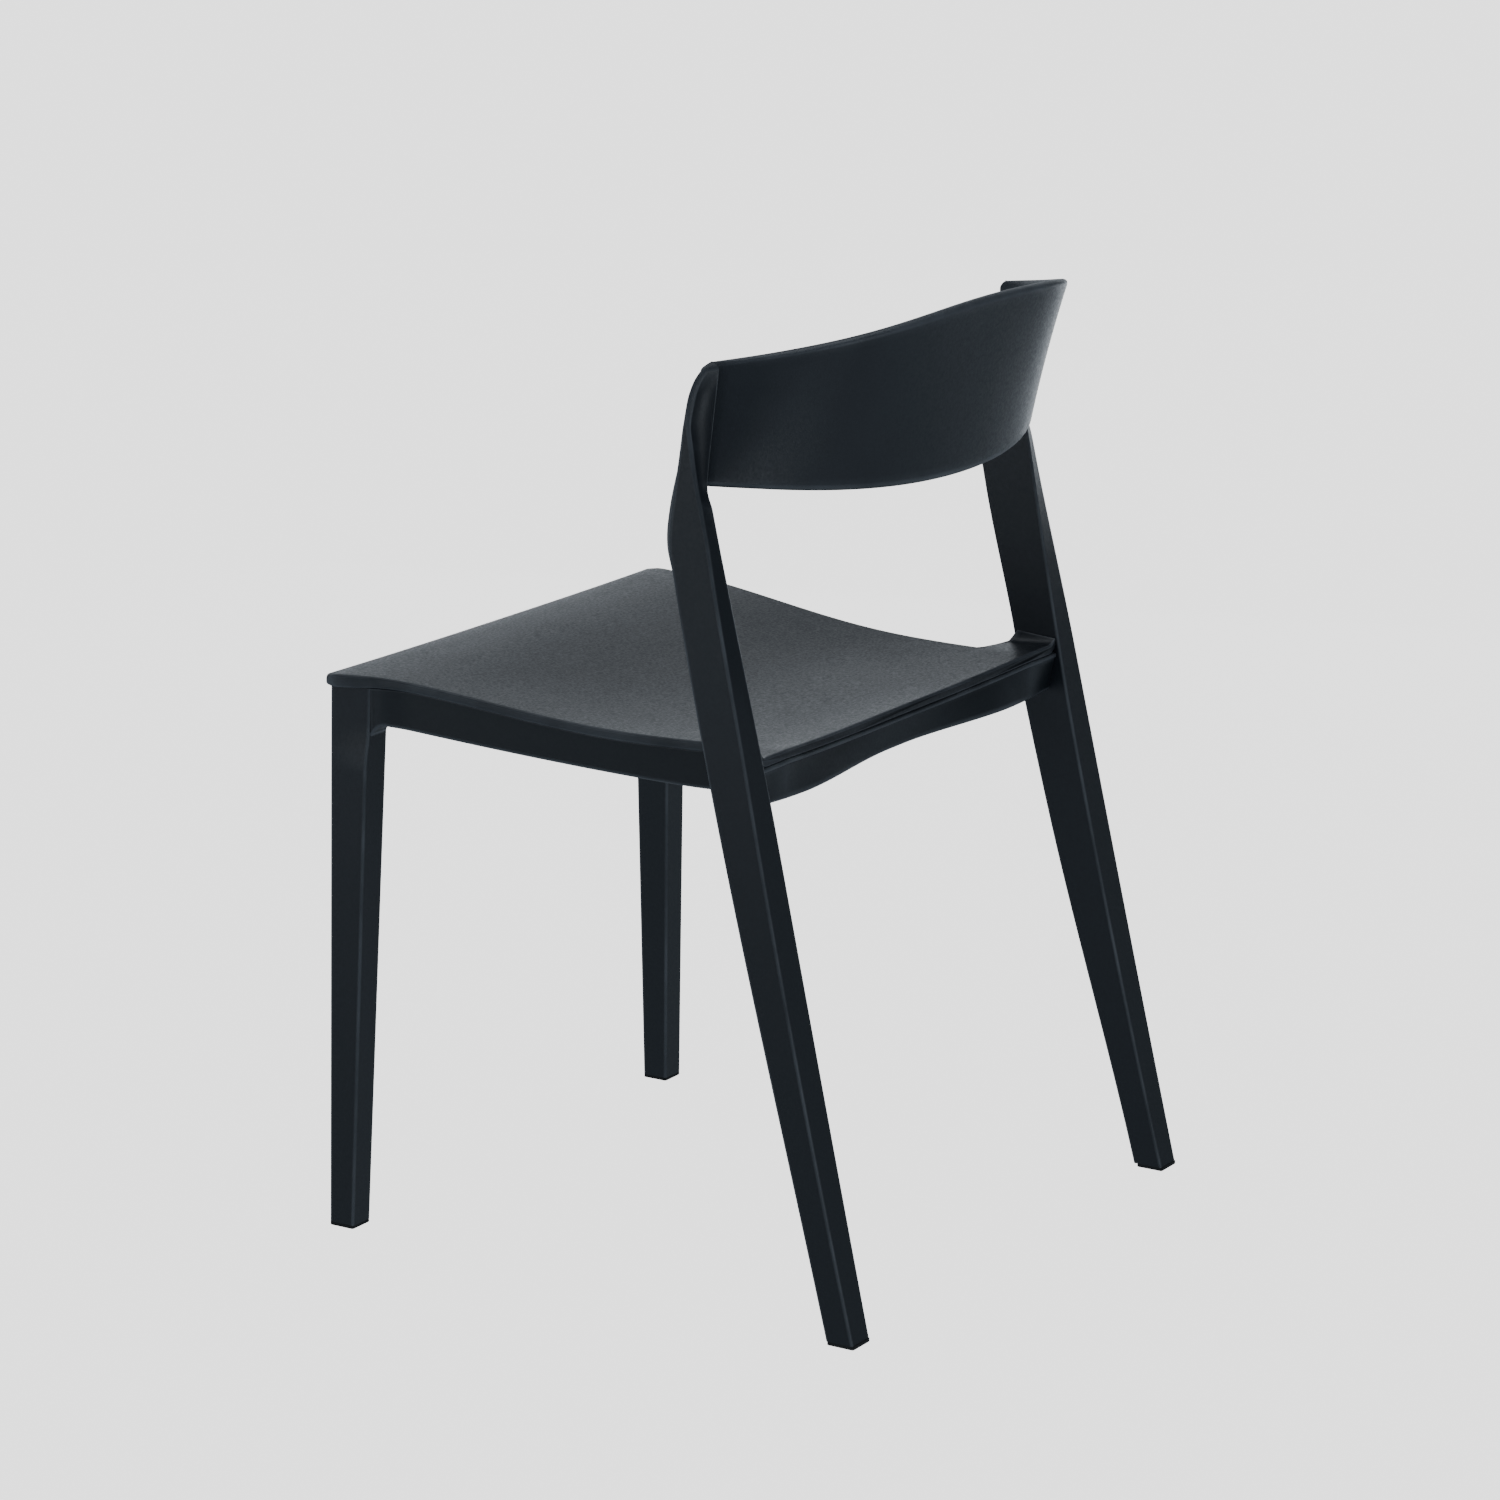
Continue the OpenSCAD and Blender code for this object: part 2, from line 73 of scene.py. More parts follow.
# Crown of an upright: height, then outer front, outer back and inner front edges
CROWN = (
    (600, 248.3, 83.2, 248.3, 118.4, 235.2, 72.4),
    (610, 247.9, 83.0, 247.9, 116.2, 235.8, 72.6),
    (625, 247.1, 84.2, 247.1, 112.0, 236.8, 75.0),
    (650, 245.9, 87.2, 245.9, 105.8, 237.8, 81.0),
    (675, 244.5, 89.8, 244.5, 100.6, 234.2, 87.0),
    (700, 242.9, 92.4, 243.1, 96.6, 229.5, 92.0),
    (720, 240.2, 95.6, 240.6, 98.6, 225.0, 95.6),
    (730, 235.8, 98.0, 236.4, 101.2, 222.5, 97.6),
    (735, 232.0, 99.9, 232.8, 103.5, 221.2, 99.0),
)
CROWN_START, CROWN_TOP = 735.0, 742.0
CROWN_APEX, CROWN_OUTER = np.array([221.4, 104.0]), 232.0
SEAT_SCREWS = ((192, -204, 425), (158, 118, 405))
BRACE_H = 18.0


def lerp(a, b, t):
    return a + (b - a) * t


def clamp(v):
    return min(max(v, 0.0), 1.0)


def smooth(v):
    t = clamp(v)
    return t * t * (3 - 2 * t)


# ---------------------------------------------------------------- seat shape


def taper(y):
    return SEAT_HALF - 0.107 * y


def rise(y):
    return smooth(clamp((42 - y) / 262) ** 1.15)


def side_z(y):
    return SEAT_SIDE_H - SIDE_DROP * (1 - rise(y)) + 2.6 * (max(0, y - 42) / 100) ** 2


def centre_z(y):
    low = SEAT_SIDE_H - SIDE_DROP - DISH
    return low + (SIDE_DROP + DISH - 1.5) * rise(y) + 4 * (max(0, y - 42) / 97) ** 2


def collar(x, y):
    height = 10 - 0.13 * (y - 114)
    return height * clamp((abs(x) - 217) / 10.6) ** 3 * smooth((y - 102) / 12)


def roll(y):
    return 1.5 * clamp((y + 230) / -26.5) ** 2


def seat_z(x, y):
    across = min(1.0, abs(x) / taper(y)) ** 2.4
    return lerp(centre_z(y), side_z(y), across) + collar(x, y) - roll(y)


def rim_at(y):
    """Depth of the rim, which grows towards the front legs."""
    return RIM + FRONT_RIM_EXTRA * smooth((-175 - y) / 65)


def rim_seat(x, y):
    """Top of the legs and rails that carry the rim."""
    return seat_z(x, y) - rim_at(y) - GAP


def rear_edge(x):
    return SEAT_REAR + REAR_CURVE * min(0.92, (x / 200) ** 2)


def outline(y):
    r = 12.0
    d = clamp((r - y - SEAT_FRONT) / r)
    wide = taper(y) + 4.5 * smooth((-203 - y) / 40)
    flare = smooth((y - 99) / (FLARE_Y - 99))
    return lerp(wide, FLARE_X, flare) - r * (1 - math.sqrt(1 - d * d))


# ---------------------------------------------------------------- leg shapes


def front_leg(z):
    """Outer x, inner x, front y and back y of the left front leg."""
    t = z / LEG_REF
    x, y = lerp(FRONT_FOOT_X, LEG_REF_X, t), lerp(-FRONT_FOOT_Y, LEG_REF_Y, t)
    return x, x - lerp(FRONT_FOOT, LEG_REF_W, t), y, y + lerp(FRONT_FOOT, LEG_REF_D, t)


def leg_back(z):
    return REAR_FOOT_Y - RAKE * z + BEND * z * z


def leg_outer(z):
    return 261.3 - 13 * (z / 600) ** 2.3


def leg_inner(z):
    if z < 390:
        return 227.9 + 8.3 * ((390 - z) / 390) ** 1.6
    return 227.9 + 7.3 * ((z - 390) / 210) ** 1.35


def leg_front(z):
    return leg_back(z) - lerp(REAR_FOOT, UPRIGHT_DEPTH, smooth(z / 600))


def lead(z):
    low = 2.3 + 6.5 * smooth(z / 300) - 2.8 * smooth((z - 405) / 45)
    return low + 4.8 * smooth((z - 450) / 130)


def trail(z):
    """How far the outer back edge falls behind the inner one."""
    return 3.2 * smooth((z - 430) / 170)


def leg_row(z):
    """A row like those of the crown, for the leg below it."""
    f, b, o, i = leg_front(z), leg_back(z), leg_outer(z), leg_inner(z)
    return (z, o, f, o, b - trail(z), i, f - lead(z))


CROWN_ROWS = np.array([leg_row(560), leg_row(580)] + list(CROWN), float)


def through(z, column):
    """A smooth curve through one column of the crown's rows."""
    zs, vs = CROWN_ROWS[:, 0], CROWN_ROWS[:, column]
    slopes = np.gradient(vs, zs)
    i = int(np.clip(np.searchsorted(zs, z) - 1, 0, len(zs) - 2))
    h = zs[i + 1] - zs[i]
    t = clamp((z - zs[i]) / h)
    rise_part = (3 - 2 * t) * t * t
    bend_part = t * (1 - t) * ((1 - t) * slopes[i] - t * slopes[i + 1]) * h
    return float(lerp(vs[i], vs[i + 1], rise_part) + bend_part)


def crown_edge(z, k):
    return through(z, k), through(z, k + 1)


# ---------------------------------------------------------------- band shape


def top_edge(x):
    u = (x / 200) ** 2
    return np.array([x, 224.4 - 2.6 * u - 56 * u * u - 14 * u ** 3, BAND_TOP - 13.5 * u - 8.9 * u * u])


def bottom_edge(x):
    u = (x / 200) ** 2
    return np.array([x, 197.1 - 42.7 * u - 15 * u * u, BAND_BOTTOM + 13 * u + 0.8 * u * u])


def unit(v):
    return v / np.linalg.norm(v)


def across_band(s, t):
    xb, xt = SEAM_X[0] * s, SEAM_X[1] * s
    ub, ut = (xb / 200) ** 2, (xt / 200) ** 2
    low = unit(np.array([-(85.4 + 60 * ub) * xb / 40000, -1.0, 0.0]))
    top = unit(np.array([-(5.2 + 224 * ut + 84 * ut * ut) * xt / 40000, -1.0, 0.0]))
    return unit(lerp(low, top, t))


def band_face(s, t):
    hollow = BAND_HOLLOW * lerp(0.15, 1, s * s) * 4 * t * (1 - t)
    flat = lerp(bottom_edge(SEAM_X[0] * s), top_edge(SEAM_X[1] * s), t)
    return flat + across_band(s, t) * hollow


def end_depth(t):
    c = band_face(1, t)
    d = crown_edge(lerp(SEAM_Z[0], SEAM_Z[1], t), 5)
    return np.array([d[0] - c[0], d[1] - c[1], 0.0]) * lerp(0.62, 1, t)


def near_end(s):
    """0 along the band, 1 at the seams with the uprights."""
    return smooth((abs(s) - BAND_END) / (1 - BAND_END))


def band_depth(s, t):
    e = end_depth(t)
    end = np.array([e[0] * (-1 if s < 0 else 1), e[1], 0.0])
    return lerp(across_band(s, t) * BAND_T, end, near_end(s))


def end_drop(share, depth):
    """How far the top of the band's end rolls down towards its front face."""
    return END_DROP * smooth((share - 0.8) / 0.2) * depth ** 3


# ---------------------------------------------------------------- mesh helpers


def is_outer_edge(e):
    """True for a convex edge between two faces of a skin, not for the rim of an end cap."""
    return len(e.link_faces) == 2 and e.is_convex and all(len(f.verts) <= 4 for f in e.link_faces)


def mark_edges(bm):
    """Writes how strongly each point lies on a rounded outer edge, 0 to 1, for the painted edge
    highlight.
    """
    layer = bm.verts.layers.float.new("edge")
    for v in bm.verts:
        turns = [e.calc_face_angle(0.0) for e in v.link_edges if is_outer_edge(e)]
        v[layer] = clamp(max(turns, default=0.0) / math.radians(EDGE_TURN))


def finish_mesh(name, verts, faces, sharp=38.0):
    """A mesh object from points in mm, with smooth faces and creases over the sharp angle."""
    mesh = bpy.data.meshes.new(name)
    mesh.from_pydata([tuple(float(c) * MM for c in v) for v in verts], [], faces)
    mesh.validate()
    bm = bmesh.new()
    bm.from_mesh(mesh)
    bmesh.ops.remove_doubles(bm, verts=bm.verts, dist=1e-7)
    bmesh.ops.recalc_face_normals(bm, faces=bm.faces)
    mark_edges(bm)
    bm.to_mesh(mesh)
    bm.free()
    mesh.shade_smooth()
    mesh.set_sharp_from_angle(angle=math.radians(sharp))
    obj = bpy.data.objects.new(name, mesh)
    bpy.context.scene.collection.objects.link(obj)
    return obj


def loft(rings, offset=0):
    """Points and faces of a closed skin through rings with equal numbers of points."""
    n = len(rings[0])
    verts = [p for ring in rings for p in ring]
    faces = []
    for i in range(len(rings) - 1):
        for j in range(n):
            k = (j + 1) % n
            a, b = offset + i * n, offset + i * n + n
            faces.append((a + j, a + k, b + k, b + j))
    last = offset + (len(rings) - 1) * n
    faces.append(tuple(offset + j for j in range(n)))
    faces.append(tuple(last + j for j in reversed(range(n))))
    return verts, faces


def mirrored(rings, side):
    return [[(p[0] * side, p[1], p[2]) for p in ring] for ring in rings]


def section(corners, radii, dips=None, arc=6, side=4):
    """A rounded outline: each corner is eased by its radius and each side may be dished."""
    n = len(corners)
    pts = [np.array(c, float) for c in corners]
    dips = dips or [0.0] * n
    middle = sum(pts) / n
    starts, ends, out = [], [], []
    for i in range(n):
        c, a, b = pts[i], pts[i - 1], pts[(i + 1) % n]
        da, db = a - c, b - c
        la, lb = np.linalg.norm(da), np.linalg.norm(db)
        starts.append(c + da / la * min(radii[i], la * 0.48))
        ends.append(c + db / lb * min(radii[i], lb * 0.48))
    for i in range(n):
        for j in range(arc + 1):
            t = j / arc
            out.append(starts[i] * (1 - t) ** 2 + pts[i] * 2 * t * (1 - t) + ends[i] * t * t)
        a, b = ends[i], starts[(i + 1) % n]
        normal = np.array([-(b - a)[1], (b - a)[0]])
        if np.linalg.norm(normal) < 1e-6:
            normal = np.array([0.0, 1.0])
        normal = unit(normal)
        if np.dot(middle - (a + b) / 2, normal) < 0:
            normal = -normal
        # A point close to each end keeps the painted edge highlight on the rounded corner itself
        close = min(0.8 / max(np.linalg.norm(b - a), 1e-6), 0.1)
        for t in [close] + [j / (side + 1) for j in range(1, side + 1)] + [1 - close]:
            out.append(lerp(a, b, t) + normal * dips[i] * 4 * t * (1 - t))
    return out


def at_height(points, z):
    return [(p[0], p[1], z) for p in points]


def steps(start, stop, count):
    """Even steps from start to stop."""
    return [lerp(start, stop, i / (count - 1)) for i in range(count)]


def fit_to(obj, node):
    """Brings a finished mesh onto the box of the CAD node that it stands for."""
    low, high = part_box(node)
    co = np.array([v.co for v in obj.data.vertices], float)
    lo, hi = co.min(0), co.max(0)
    scale = (np.array(high) - np.array(low)) / (hi - lo)
    for v, p in zip(obj.data.vertices, co):
        v.co = Vector((p - lo) * scale + np.array(low))
    return obj


def place(obj, node, material):
    obj.data.materials.clear()
    obj.data.materials.append(material)
    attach(obj, "root")
    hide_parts(node)
    return obj


# ---------------------------------------------------------------- materials


class Nodes:
    """Short calls for building a node tree."""

    def __init__(self, name):
        self.material = bpy.data.materials.new(name)
        self.material.use_nodes = True
        self.tree = self.material.node_tree
        self.tree.nodes.clear()
        self.out = self.add("ShaderNodeOutputMaterial")
        self.shader = self.add("ShaderNodeBsdfPrincipled")
        self.link(self.shader, "BSDF", self.out, "Surface")
        self.coords = self.add("ShaderNodeTexCoord")

    def add(self, kind, **values):
        node = self.tree.nodes.new(kind)
        for key, value in values.items():
            if key in node.inputs:
                node.inputs[key].default_value = value
            else:
                setattr(node, key, value)
        return node

    def link(self, a, out, b, into):
        self.tree.links.new(a.outputs[out], b.inputs[into])

    def noise(self, scale, detail=3.0, rough=0.55):
        noise = self.add("ShaderNodeTexNoise")
        noise.inputs["Scale"].default_value = scale
        noise.inputs["Detail"].default_value = detail
        noise.inputs["Roughness"].default_value = rough
        self.link(self.coords, "Object", noise, "Vector")
        return noise

    def ramp(self, source, out, stops):
        ramp = self.add("ShaderNodeValToRGB")
        while len(ramp.color_ramp.elements) < len(stops):
            ramp.color_ramp.elements.new(0.5)
        for element, (position, colour) in zip(ramp.color_ramp.elements, stops):
            element.position = position
            element.color = (*colour, 1.0)
        self.link(source, out, ramp, "Fac")
        return ramp

    def span(self, source, out, low, high, start=0.3, stop=0.7):
        mapped = self.add("ShaderNodeMapRange")
        mapped.inputs["From Min"].default_value = start
        mapped.inputs["From Max"].default_value = stop
        mapped.inputs["To Min"].default_value = low
        mapped.inputs["To Max"].default_value = high
        self.link(source, out, mapped, "Value")
        return mapped


# Pale colour painted along the rounded outer edges as a highlight
EDGE_HIGHLIGHT = (0.13, 0.142, 0.16)
# Places of the colour sockets on a Mix node
MIX_A, MIX_B, MIX_RESULT = 6, 7, 2


def moulded_plastic(name, colour, rough, grain=0.3, speckle=0.05):
    """Satin moulded plastic: a fine pebbled grain, cloudy sheen and a patchy highlight painted along
    the rounded edges.
    """
    n = Nodes(name)
    darker = tuple(c * 0.88 for c in colour)
    lighter = tuple(c * 1.14 for c in colour)
    tone = n.ramp(n.noise(420.0, 3.0, 0.7), "Fac", [(0.3, darker), (0.7, lighter)])
    # Rounded outer edges get a paler painted highlight, stronger in some patches than in others
    on_edge = n.add("ShaderNodeAttribute", attribute_name="edge")
    highlight_patches = n.span(n.noise(14.0, 3.0), "Fac", 0.4, 0.9, 0.38, 0.62)
    highlight_share = n.add("ShaderNodeMath", operation="MULTIPLY")
    n.link(on_edge, "Fac", highlight_share, 0)
    n.link(highlight_patches, "Result", highlight_share, 1)
    with_highlight = n.add("ShaderNodeMix", data_type="RGBA")
    with_highlight.inputs[MIX_B].default_value = (*EDGE_HIGHLIGHT, 1.0)
    n.link(highlight_share, "Value", with_highlight, "Factor")
    n.link(tone, "Color", with_highlight, MIX_A)
    n.link(with_highlight, MIX_RESULT, n.shader, "Base Color")
    cloud = n.span(n.noise(9.0, 4.0), "Fac", rough - 0.015, rough + 0.02)
    speck = n.span(n.noise(430.0, 2.0), "Fac", -speckle, speckle)
    total = n.add("ShaderNodeMath", operation="ADD")
    n.link(cloud, "Result", total, 0)
    n.link(speck, "Result", total, 1)
    n.link(total, "Value", n.shader, "Roughness")
    bump = n.add("ShaderNodeBump")
    bump.inputs["Strength"].default_value = grain
    bump.inputs["Distance"].default_value = 0.0002
    n.link(n.noise(1100.0, 3.0, 0.6), "Fac", bump, "Height")
    n.link(bump, "Normal", n.shader, "Normal")
    n.shader.inputs["IOR"].default_value = 1.46
    return n.material


def rubber(name, colour):
    n = Nodes(name)
    dust = n.ramp(n.noise(90.0, 4.0), "Fac", [(0.35, colour), (0.75, tuple(c * 1.7 for c in colour))])
    n.link(dust, "Color", n.shader, "Base Color")
    n.link(n.span(n.noise(40.0), "Fac", 0.6, 0.8), "Result", n.shader, "Roughness")
    bump = n.add("ShaderNodeBump")
    bump.inputs["Strength"].default_value = 0.2
    bump.inputs["Distance"].default_value = 0.0002
    n.link(n.noise(900.0), "Fac", bump, "Height")
    n.link(bump, "Normal", n.shader, "Normal")
    return n.material


def plated_steel(name, colour, rough):
    n = Nodes(name)
    darker = tuple(c * 0.8 for c in colour)
    tone = n.ramp(n.noise(300.0, 3.0), "Fac", [(0.3, darker), (0.7, colour)])
    n.link(tone, "Color", n.shader, "Base Color")
    n.link(n.span(n.noise(500.0), "Fac", rough, rough + 0.15), "Result", n.shader, "Roughness")
    n.shader.inputs["Metallic"].default_value = 1.0
    return n.material


SEAT_PLASTIC = moulded_plastic("seat_plastic", (0.013, 0.0165, 0.022), 0.38, 0.45, 0.09)
BACK_PLASTIC = moulded_plastic("back_plastic", (0.016, 0.0205, 0.0275), 0.42, 0.4, 0.08)
FRAME_PLASTIC = moulded_plastic("frame_plastic", (0.015, 0.0195, 0.0265), 0.40)
RAIL_PLASTIC = moulded_plastic("rail_plastic", (0.013, 0.017, 0.0225), 0.42)
BRACE_PLASTIC = moulded_plastic("brace_plastic", (0.02, 0.021, 0.022), 0.5)
GLIDE_RUBBER = rubber("glide_rubber", (0.008, 0.008, 0.009))
ZINC = plated_steel("zinc_plate", (0.5, 0.51, 0.52), 0.3)
PIN_STEEL = plated_steel("pin_steel", (0.55, 0.55, 0.56), 0.22)


# ---------------------------------------------------------------- the seat

EDGE_STEPS = (0.0, 0.1, 0.3, 0.6, 1.0, 1.5, 2.1, 2.8, 3.8, 5.0, 6.5, 8.5, 11.5, 15.0)
# Where the closely spaced rows along an edge end and the even ones begin
EDGE_MARGIN = 18
TOP_ROUND, COLLAR_ROUND, LOW_ROUND = 2.4, 1.0, 1.3
NOSE_DEPTH, NOSE_DROP, NOSE_RISE = 6.5, 5.0, 3.2


def ease(d, r):
    """Drop of a quarter round of radius r at the distance d from the edge."""
    return 0.0 if d >= r else r - math.sqrt(max(0.0, r * r - (r - d) ** 2))


def seat_point(x, y, inside, nose, top):
    """One point of the shell, inside is its distance from the nearest edge."""
    z = seat_z(x, y)
    if top:
        lip = lerp(TOP_ROUND, COLLAR_ROUND, clamp(collar(x, y) / 3))
        return (x, y, z - max(ease(inside, lip), NOSE_DROP * (1 - math.sqrt(1 - nose ** 2))))
    thick = lerp(rim_at(y), SHELL, smooth((inside - 6) / 8))
    under = NOSE_RISE * (1 - math.sqrt(1 - nose ** 2))
    return (x, y, z - thick + max(ease(inside, LOW_ROUND), under))


def seat_rings():
    length = SEAT_FRONT + SEAT_REAR
    front = list(EDGE_STEPS)
    body = steps(EDGE_MARGIN, length - EDGE_MARGIN, 85)
    back = [length - d for d in reversed(EDGE_STEPS)]
    rings = []
    for along in front + body + back:
        v = along / length
        top, low = [], []
        guess = outline(lerp(-SEAT_FRONT, rear_edge(FLARE_X), v))
        xs = [-guess + d for d in EDGE_STEPS]
        xs += steps(EDGE_MARGIN - guess, guess - EDGE_MARGIN, 41)
        xs += [guess - d for d in reversed(EDGE_STEPS)]
        for x in xs:
            share = x / guess
            w = outline(lerp(-SEAT_FRONT, rear_edge(x), v))
            px = share * w
            py = lerp(-SEAT_FRONT, rear_edge(px), v)
            side = w - abs(px)
            inside = min(side, along, length - along)
            # The rounded nose runs round the front corners and fades out behind them
            reach = min(along, side + NOSE_DEPTH * smooth((along - 4) / 16))
            nose = clamp(1 - reach / NOSE_DEPTH)
            top.append(seat_point(px, py, inside, nose, True))
            low.append(seat_point(px, py, inside, nose, False))
        rings.append(top + low[::-1])
    return rings


def add_boss(verts, faces, x, y, z0, z1, r=5.0, count=28):
    """A round screw boss under the shell, with an eased lower rim."""
    rings = []
    for z, rr in ((z1, r), (z0 + 0.6, r), (z0, r - 0.6), (z0, 2.0), (z0 + 5, 2.0)):
        turn = [2 * math.pi * i / count for i in range(count)]
        rings.append([(x + rr * math.cos(a), y + rr * math.sin(a), z) for a in turn])
    more, quads = loft(rings, len(verts))
    return verts + more, faces + quads


def build_seat():
    verts, faces = loft(seat_rings())
    for side in (-1, 1):
        for x, y, z in SEAT_SCREWS:
            top = seat_z(x, y) - SHELL - 0.4
            verts, faces = add_boss(verts, faces, side * x, y, z + BRACE_H + GAP, top + 0.6)
    obj = finish_mesh("seat_shell_skin", verts, faces, 42)
    return place(obj, "seat_shell", SEAT_PLASTIC)


# ---------------------------------------------------------------- the back band


def band_profile():
    """Share of the height and of the thickness round the band's section."""
    out = []
    edge = 7
    for i in range(25):
        out.append((lerp(0.045, 0.955, i / 24), 0.0))
    for i in range(1, edge * 2):
        a = math.pi / 2 * i / edge
        out.append((0.955 + 0.045 * math.sin(a) ** 0.8, (1 - math.cos(a)) / 2))
    for i in range(25):
        out.append((lerp(0.955, 0.045, i / 24), 1.0))
    for i in range(1, edge * 2):
        a = math.pi / 2 * i / edge
        out.append((0.045 - 0.045 * math.sin(a) ** 0.8, (1 + math.cos(a)) / 2))
    return out


def build_band():
    profile = band_profile()
    count = 110
    rings = []
    for i in range(count + 1):
        s = lerp(-1, 1, i / count)
        ring = [band_face(s, t) + band_depth(s, t) * o for t, o in profile]
        drops = [near_end(s) * end_drop(t, o) for t, o in profile]
        rings.append([(p[0], p[1], p[2] - drop) for p, drop in zip(ring, drops)])
    verts, faces = loft(rings)
    obj = finish_mesh("backrest_skin", verts, faces, 50)
    return place(obj, "backrest", BACK_PLASTIC)


# ---------------------------------------------------------------- legs


def leg_section(e, skew=0.0):
    corners = [(e[0], e[2]), (e[0] - skew, e[3]), (e[1], e[3]), (e[1], e[2])]
    return section(corners, [EDGE_R] * 4, arc=4)


def front_leg_section(z):
    """Beside the rail the outer face turns in to follow the edge of the seat."""
    return leg_section(front_leg(z), 3.4 * smooth((z - 385) / 35))


def build_front_leg(side, name):
    heights = steps(GLIDE_H, 380, 20) + steps(385, LEG_NECK, 10)
    rings = [at_height(front_leg_section(z), z) for z in heights]
    head = front_leg_section(LEG_REF)
    rings.append([(p[0], p[1], rim_seat(p[0], p[1])) for p in head])
    verts, faces = loft(mirrored(rings, side))
    obj = fit_to(finish_mesh(name + "_skin", verts, faces), name)
    return place(obj, name, FRAME_PLASTIC)


def seam_share(z):
    """Share of the seam's height at which the level z meets it."""
    return clamp((z - SEAM_Z[0]) / (SEAM_Z[1] - SEAM_Z[0]))


def rear_leg_corners(z):
    """Outer front, outer back, inner back and inner front corners."""
    if z < 560:
        row = leg_row(z)
        return [row[1:3], row[3:5], (row[5], leg_back(z)), row[5:7]]
    zc = min(z, CROWN_START)
    c = band_face(1, seam_share(z))
    k = smooth((z - 632) / 18)
    inner = (lerp(leg_inner(z), c[0], k), lerp(leg_back(z), c[1], k))
    return [crown_edge(zc, 1), crown_edge(zc, 3), inner, crown_edge(zc, 5)]


def rear_leg_section(z):
    """The strip between the outer and inner back edges is a shallow flute at the crown."""
    k = clamp((z - 600) / 50)
    full = smooth((z - 690) / 25)
    outer = lerp(lerp(EDGE_R, 2.0, k), 4.5, full)
    radii = [outer, outer, lerp(EDGE_R, 0.4, k), lerp(EDGE_R, 2.2, k)]
    flute = 2.2 * smooth((z - 615) / 60) * (1 - smooth((z - 715) / 20))
    return section(rear_leg_corners(z), radii, [0.0, flute, 0.0, 0.0], arc=4, side=6)


def build_rear_leg(side, name):
    heights = steps(GLIDE_H, 554, 36) + steps(562, CROWN_START - 1, 70)
    over = CROWN_TOP - CROWN_START
    heights += [CROWN_START + over * t for t in (0, 0.2, 0.38, 0.54, 0.68, 0.8, 0.89, 0.95, 0.985, 1)]
    rings = []
    for z in heights:
        cap = clamp((z - CROWN_START) / (over + 0.2))
        ring = [lerp(np.array(p), CROWN_APEX, cap ** 2) for p in rear_leg_section(z)]
        share = seam_share(z)
        back, deep = band_face(1, share)[1], -end_depth(share)[1]
        rings.append([])
        for x, y in ring:
            inwards = clamp((CROWN_OUTER - x) / (CROWN_OUTER - CROWN_APEX[0]))
            drop = inwards * end_drop(share, clamp((back - y) / deep))
            rings[-1].append((x, y, z - drop))
    verts, faces = loft(mirrored(rings, side))
    obj = fit_to(finish_mesh(name + "_skin", verts, faces, 45), name)
    return place(obj, name, FRAME_PLASTIC)


# ---------------------------------------------------------------- rails


def side_rail_ring(y):
    """The first ring follows the back face of the front leg instead of a level y."""
    flare = smooth((y - 99) / (FLARE_Y - 99))
    inner = taper(y) - RAIL_INSET - SIDE_RAIL_T
    outer = lerp(taper(y) - RAIL_INSET, FLARE_X, flare) + 3.3 * smooth((-180 - y) / 30)
    top = side_z(y) - rim_at(y) - GAP
    sweep = clamp((-201 - y) / 12)
    low = RAIL_LOW + 18.8 * clamp((74 - y) / 275) ** 1.4 - 10 * (1 - math.sqrt(1 - sweep * sweep))
    ring = section([(outer, top), (outer, low), (inner, low), (inner, top)], [1.2, 3, 2, 1.2])
    if y > SIDE_RAIL_START:
        return [(p[0], y, p[1]) for p in ring]
    return [(p[0], front_leg(p[1])[3] - OVERRUN, p[1]) for p in ring]


def build_side_rail(side, name):
    ys = [-213, -212.4, -212, -211, -209.5, -208, -206, -204, -202.5, -201]
    ys += steps(-198, 90, 40) + steps(92, FLARE_Y + 1, 26) + [118, 124, SIDE_RAIL_END]
    verts, faces = loft(mirrored([side_rail_ring(y) for y in ys], side))
    obj = finish_mesh(name + "_skin", verts, faces, 40)
    return place(obj, name, RAIL_PLASTIC)


def build_front_rail():
    rings = []
    for x in steps(-FRONT_RAIL_HALF, FRONT_RAIL_HALF, 41):
        y0, y1 = FRONT_RAIL_Y, FRONT_RAIL_Y + CROSS_RAIL_T
        top, low = rim_seat(x, y0), SEAT_SIDE_H - FRONT_RAIL_DROP
        ring = section([(y0, top), (y0, low), (y1, low), (y1, top)], [1.2, 2.5, 2, 1.2])
        at_leg = abs(x) > FRONT_RAIL_HALF - 0.5
        ends = [math.copysign(front_leg(p[1])[1] + OVERRUN, x) if at_leg else x for p in ring]
        rings.append([(e, p[0], p[1]) for e, p in zip(ends, ring)])
    verts, faces = loft(rings)
    obj = finish_mesh("front_rail_skin", verts, faces, 40)
    return place(obj, "front_rail", RAIL_PLASTIC)


def rail_back(x):
    """The underside bows back between the middle and the legs."""
    bow = 13.3 * smooth((abs(x) - 10) / 150) - 4 * smooth((abs(x) - 185) / 45)
    return SEAT_REAR - 1.5 + bow


